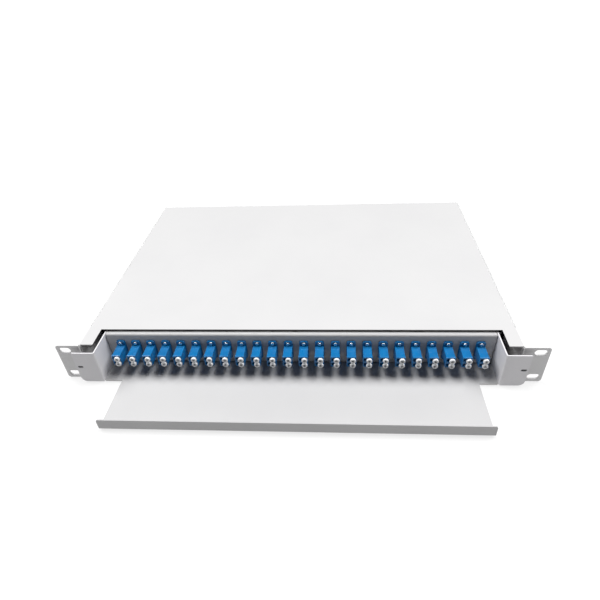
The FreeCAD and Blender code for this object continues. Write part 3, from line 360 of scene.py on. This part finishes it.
def join_rider(piece, slot, body, replaced):
    """Gives a piece its material, slot and body, and hides the CAD nodes it stands for."""
    piece.data.materials.clear()
    piece.data.materials.append(LOOKS[slot])
    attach(piece, body)
    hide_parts(*replaced)


# --- CAD nodes --------------------------------------------------------------------------------

SLOT_OF = {row["node"]: row["material_slot"] for row in frame["record"]["subparts"]}
EDGE_BREAK = {"powder_coat": 0.22, "ear_grey": 0.25, "adapter_blue": 0.15, "tray_white": 0.2,
              "lid_clear": 0.2, "black_nylon": 0.3}
# The drawer tray and the adapter panel take darker copies of the powder paint as painted shade; the side
# brackets take a lighter copy as painted light.
LOOK_OF = {"drawer_tray": "tray_shaded_coat", "adapter_panel": "panel_shaded_coat",
           "side_bracket_left": "bracket_lit_coat", "side_bracket_right": "bracket_lit_coat"}
SEAMLESS = ("chassis_base", "drawer_tray", "splice_combs")


def finish_node(node):
    """Gives a CAD node its material, smooth rounds and lightly broken edges."""
    piece = nodes[node]
    slot = SLOT_OF[node]
    piece.data.materials.clear()
    piece.data.materials.append(LOOKS[LOOK_OF.get(node, slot)])
    for face in piece.data.polygons:
        face.use_smooth = True
        face.material_index = 0
    width = EDGE_BREAK.get(slot)
    if width and node not in SEAMLESS:
        break_edges(piece, width, 50)


for name in nodes:
    finish_node(name)


# --- adapters ---------------------------------------------------------------------------------

# Sizes in millimetres. The two ends, the row's height and the flange come from the CAD's boxes.
ADAPTERS = 24
PITCH = 16.0
CAD_LOW, CAD_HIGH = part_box("adapter_bodies")
FRONT = CAD_LOW[1] / MM
BACK = CAD_HIGH[1] / MM
ROW_Z = (CAD_LOW[2] + CAD_HIGH[2]) / 2
FLANGE_HALF = (CAD_HIGH[2] - CAD_LOW[2]) / 2 / MM
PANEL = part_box("adapter_panel")[0][1] / MM
HALF_W = 4.65
HALF_H = 6.45
BODY_CORNER_R = 0.7
WAIST_DEPTH = 0.25
EDGE_TAPER = 0.35
BEZEL_LENGTH = 2.4
BEZEL_SLOPE = 0.3
FLANGE_T = 2.0
FLANGE_TAPER = 0.3
FLANGE_CORNER_R = 2.4
SCREW_ZS = (-9.0, 9.0)
SCREW_HOLE_R = 1.05
PORT_X = 1.3
PORT_ZS = (-3.125, 3.125)
PORT_HALF = 2.35
PORT_CORNER_R = 0.3
PORT_DEPTH = 12.4
MOUTH_FLARE = 0.35
MOUTH_DEPTH = 0.45
KEYWAY_X = PORT_X - 3.0
KEYWAY_HALF_X = 2.0
KEYWAY_HALF_Z = 1.55
KEYWAY_CORNER_R = 0.25
BARREL_R = 1.45
BARREL_TIP_R = 1.25
BARREL_SETBACK = 8.8
BORE_R = 0.85
LABEL_HALF_X = 3.1
LABEL_HALF_Z = 0.18
LABEL_YS = (FRONT + 4.5, FRONT + 13.5)


def adapter_places():
    """X of every adapter, in metres."""
    return [PITCH * (index - (ADAPTERS - 1) / 2) * MM for index in range(ADAPTERS)]


def adapter_shell():
    """The outside of one adapter: a bezel at each end, a slimmer waist and the screw flange."""
    front_end = FRONT + BEZEL_LENGTH
    back_end = BACK - BEZEL_LENGTH
    sections = [(FRONT, -EDGE_TAPER), (FRONT + EDGE_TAPER, 0), (front_end, 0),
                (front_end + BEZEL_SLOPE, -WAIST_DEPTH), (back_end - BEZEL_SLOPE, -WAIST_DEPTH),
                (back_end, 0), (BACK - EDGE_TAPER, 0), (BACK, -EDGE_TAPER)]
    rings = [rounded_ring(HALF_W + grow, HALF_H + grow, BODY_CORNER_R + grow / 2, y) for y, grow in sections]
    shell = as_object("shell", loft(rings))
    face = PANEL - FLANGE_T
    sections = [(face, -FLANGE_TAPER), (face + FLANGE_TAPER, 0), (PANEL, 0)]
    rings = [rounded_ring(HALF_W + grow, FLANGE_HALF + grow, FLANGE_CORNER_R, y) for y, grow in sections]
    flange = as_object("flange", loft(rings))
    return combine(shell, [flange], "UNION")


def port_cutter(z, mouth, inward):
    """The hollow of one port with a flared mouth; inward is +1 from the front and -1 from the back."""
    sections = [(mouth + inward * depth, grow) for depth, grow in
                ((-0.5, MOUTH_FLARE), (0.0, MOUTH_FLARE), (MOUTH_DEPTH, 0.0), (PORT_DEPTH, -0.05))]
    rings = [rounded_ring(PORT_HALF + grow, PORT_HALF + grow, PORT_CORNER_R, y, PORT_X, z)
             for y, grow in sections]
    socket = as_object("socket", loft(rings))
    rings = [rounded_ring(KEYWAY_HALF_X + grow, KEYWAY_HALF_Z + grow, KEYWAY_CORNER_R, y, KEYWAY_X, z)
             for y, grow in sections]
    keyway = as_object("keyway", loft(rings))
    return combine(socket, [keyway], "UNION")


def adapter_barrel(z):
    """The tube in the middle of a port that holds the ceramic sleeve."""
    tip = FRONT + BARREL_SETBACK
    tail = BACK - BARREL_SETBACK
    profile = [(BARREL_TIP_R, tip), (BARREL_R, tip + 0.2), (BARREL_R, tail - 0.2), (BARREL_TIP_R, tail)]
    return as_object("barrel", lathe(profile, PORT_X, z))


def label_recess(level):
    """A shallow recess for a label, above (+1) or below (-1) the body."""
    z = level * (HALF_H - 0.25)
    rings = [rounded_ring(LABEL_HALF_X, LABEL_HALF_Z, 0.08, y, 0, z) for y in LABEL_YS]
    return as_object("label_recess", loft(rings))


def build_adapter():
    """One adapter, at the middle of the box."""
    adapter = adapter_shell()
    cutters = [port_cutter(z, mouth, inward) for z in PORT_ZS for mouth, inward in ((FRONT, 1), (BACK, -1))]
    cutters += [label_recess(level) for level in (-1, 1)]
    hole = [(SCREW_HOLE_R, PANEL - 3), (SCREW_HOLE_R, PANEL + 1)]
    cutters += [as_object("screw_hole", lathe(hole, 0, z)) for z in SCREW_ZS]
    adapter = combine(adapter, cutters, "DIFFERENCE")
    adapter = combine(adapter, [adapter_barrel(z) for z in PORT_ZS], "UNION")
    bore = [(BORE_R, FRONT + 5), (BORE_R, BACK - 5)]
    bores = [as_object("bore", lathe(bore, PORT_X, z)) for z in PORT_ZS]
    adapter = combine(adapter, bores, "DIFFERENCE")
    break_edges(adapter, 0.10)
    bake_modifiers(adapter)
    smooth_by_angle(adapter.data)
    return adapter


def make_adapters():
    """All the adapters as one piece on the drawer."""
    one = build_adapter()
    row = copies_in_one("adapter_row", one.data, adapter_places())
    smooth_by_angle(row.data)
    bpy.data.objects.remove(one)
    join_rider(row, "adapter_blue", "drawer", ["adapter_bodies"])


# --- dust caps --------------------------------------------------------------------------------

CAP_FRONT = FRONT - 2.5
CAP_RIM_R = 1.55
CAP_OUTLINE = ((2.25, 0.0), (2.65, 0.14), (2.85, 0.5), (2.85, 1.7), (2.7, 2.1), (2.4, 2.3), (2.08, 2.45),
               (2.08, 3.4), (2.16, 3.6), (2.16, 3.9), (2.04, 4.1), (2.02, 6.3), (2.1, 6.5), (2.1, 6.8),
               (1.98, 7.0), (1.9, 9.6), (1.6, 10.1))
CAP_HOLE = ((1.12, 6.5), (1.2, 0.9), (1.3, 0.25), (CAP_RIM_R, 0.0))
WEB_SECTIONS = ((0.45, -0.15), (0.6, 0.0), (1.9, 0.0), (2.05, -0.15))
WEB_HALF_X = 1.25
WEB_HALF_Z = 1.4
CAP_CREASE_DEG = 50


def cap_plug(z):
    """One half of a duplex cap: a soft ring with a blind hole in its front, and a ribbed shaft behind it."""
    rings = [circle_ring(radius, CAP_FRONT + depth, PORT_X, z) for radius, depth in CAP_HOLE + CAP_OUTLINE]
    return as_object("cap_plug", loft(rings))


def build_cap():
    """One duplex dust cap, at the middle adapter."""
    cap = cap_plug(PORT_ZS[0])
    rings = [rounded_ring(WEB_HALF_X + grow, WEB_HALF_Z, 0.2, CAP_FRONT + depth, PORT_X)
             for depth, grow in WEB_SECTIONS]
    web = as_object("web", loft(rings))
    cap = combine(cap, [cap_plug(PORT_ZS[1]), web], "UNION")
    smooth_by_angle(cap.data, CAP_CREASE_DEG)
    return cap


def make_caps():
    """A cap on every front port, each on its own body, and one piece for those in the rear ports."""
    one = build_cap()
    for number, x in enumerate(adapter_places(), start=1):
        cap = copies_in_one("soft_cap_%02d" % number, one.data, [x])
        smooth_by_angle(cap.data, CAP_CREASE_DEG)
        join_rider(cap, "cap_white", "cap_%02d" % number, ["dust_cap_%02d" % number])
    middle = (FRONT + BACK) / 2 * MM
    rear = copies_in_one("rear_caps", one.data, adapter_places(), middle)
    smooth_by_angle(rear.data, CAP_CREASE_DEG)
    join_rider(rear, "cap_white", "drawer", ["rear_dust_caps"])
    bpy.data.objects.remove(one)


# --- latch slots of the wings -----------------------------------------------------------------

LATCH_X = 218.4
LATCH_Z = -0.3
# Size and depth of the black piece that stands in for the shadow inside each latch slot, as painted shade.
SLOT_SHADE_HALF_X = 2.75
SLOT_SHADE_HALF_Z = 1.25
SLOT_SHADE_CORNER_R = 1.2
SLOT_SHADE_DEPTHS = (0.25, 1.1)
WING_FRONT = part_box("side_bracket_right")[0][1] / MM


def make_slot_shade_pieces():
    """A dark piece, a little set back, in the latch slot of each wing: painted shade standing in for the
    slot's shadowed inside.
    """
    for name, side in (("left", -1), ("right", 1)):
        rings = [rounded_ring(SLOT_SHADE_HALF_X, SLOT_SHADE_HALF_Z, SLOT_SHADE_CORNER_R, WING_FRONT + depth,
                              side * LATCH_X, LATCH_Z) for depth in SLOT_SHADE_DEPTHS]
        shade_piece = as_object("slot_shade_piece_" + name, loft(rings))
        shade_piece.data.materials.append(LOOKS["black_nylon"])
        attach(shade_piece, "drawer")


make_adapters()
make_caps()
make_slot_shade_pieces()


# --- floor, light and camera ------------------------------------------------------------------

FLOOR_HALF = 9.0
FLOOR_GLOW = 0.74
SUN_ENERGY = 3.13
SUN_LEAN_DEG = 31
SUN_BACK_DEG = -10
SUN_SOFTNESS_DEG = 35
FILL_STRENGTH = 0.06


def make_floor():
    """A plain pale floor under the box, wide enough to fill the view."""
    level = cad_box[0][2]
    mesh = bpy.data.meshes.new("floor")
    corners = [(x * FLOOR_HALF, y * FLOOR_HALF, level) for x, y in ((-1, -1), (1, -1), (1, 1), (-1, 1))]
    mesh.from_pydata(corners, [], [(0, 1, 2, 3)])
    floor = bpy.data.objects.new("floor", mesh)
    bpy.context.scene.collection.objects.link(floor)
    look = Look("floor_white")
    clouds = look.noise(0.3, detail=2)
    look.colour(look.blend_colours(look.spread(clouds, 0, 1), (0.21, 0.21, 0.21), (0.20, 0.20, 0.20)))
    look.roughness(look.spread(clouds, 0.75, 0.85))
    look.set(Specular_IOR_Level=0.1, Emission_Color=(1, 1, 1, 1), Emission_Strength=FLOOR_GLOW)
    mesh.materials.append(look.material)


def make_sun(name, lean_deg):
    """A soft distant lamp that leans to one side and a little back from straight overhead."""
    lamp = bpy.data.lights.new(name, "SUN")
    lamp.energy = SUN_ENERGY
    lamp.angle = math.radians(SUN_SOFTNESS_DEG)
    sun = bpy.data.objects.new(name, lamp)
    sun.rotation_euler = (math.radians(SUN_BACK_DEG), math.radians(lean_deg), 0)
    bpy.context.scene.collection.objects.link(sun)


def make_room():
    """A room that is pale behind the floor and gives a little fill light."""
    room = bpy.data.worlds.new("room")
    room.use_nodes = True
    tree = room.node_tree
    fill = tree.nodes["Background"]
    fill.inputs["Color"].default_value = (0.95, 0.94, 1, 1)
    fill.inputs["Strength"].default_value = FILL_STRENGTH
    backdrop = tree.nodes.new("ShaderNodeBackground")
    backdrop.inputs["Color"].default_value = (1, 1, 1, 1)
    ray = tree.nodes.new("ShaderNodeLightPath")
    mix = tree.nodes.new("ShaderNodeMixShader")
    tree.links.new(ray.outputs["Is Camera Ray"], mix.inputs["Fac"])
    tree.links.new(fill.outputs["Background"], mix.inputs[1])
    tree.links.new(backdrop.outputs["Background"], mix.inputs[2])
    tree.links.new(mix.outputs["Shader"], tree.nodes["World Output"].inputs["Surface"])
    return room


def make_light():
    """Two large soft lamps, left and right above the box, and the fill from the room."""
    make_sun("softbox_left", -SUN_LEAN_DEG)
    make_sun("softbox_right", SUN_LEAN_DEG)
    bpy.context.scene.world = make_room()
    bpy.context.scene.view_settings.view_transform = "Standard"


make_floor()
make_light()
make_camera()
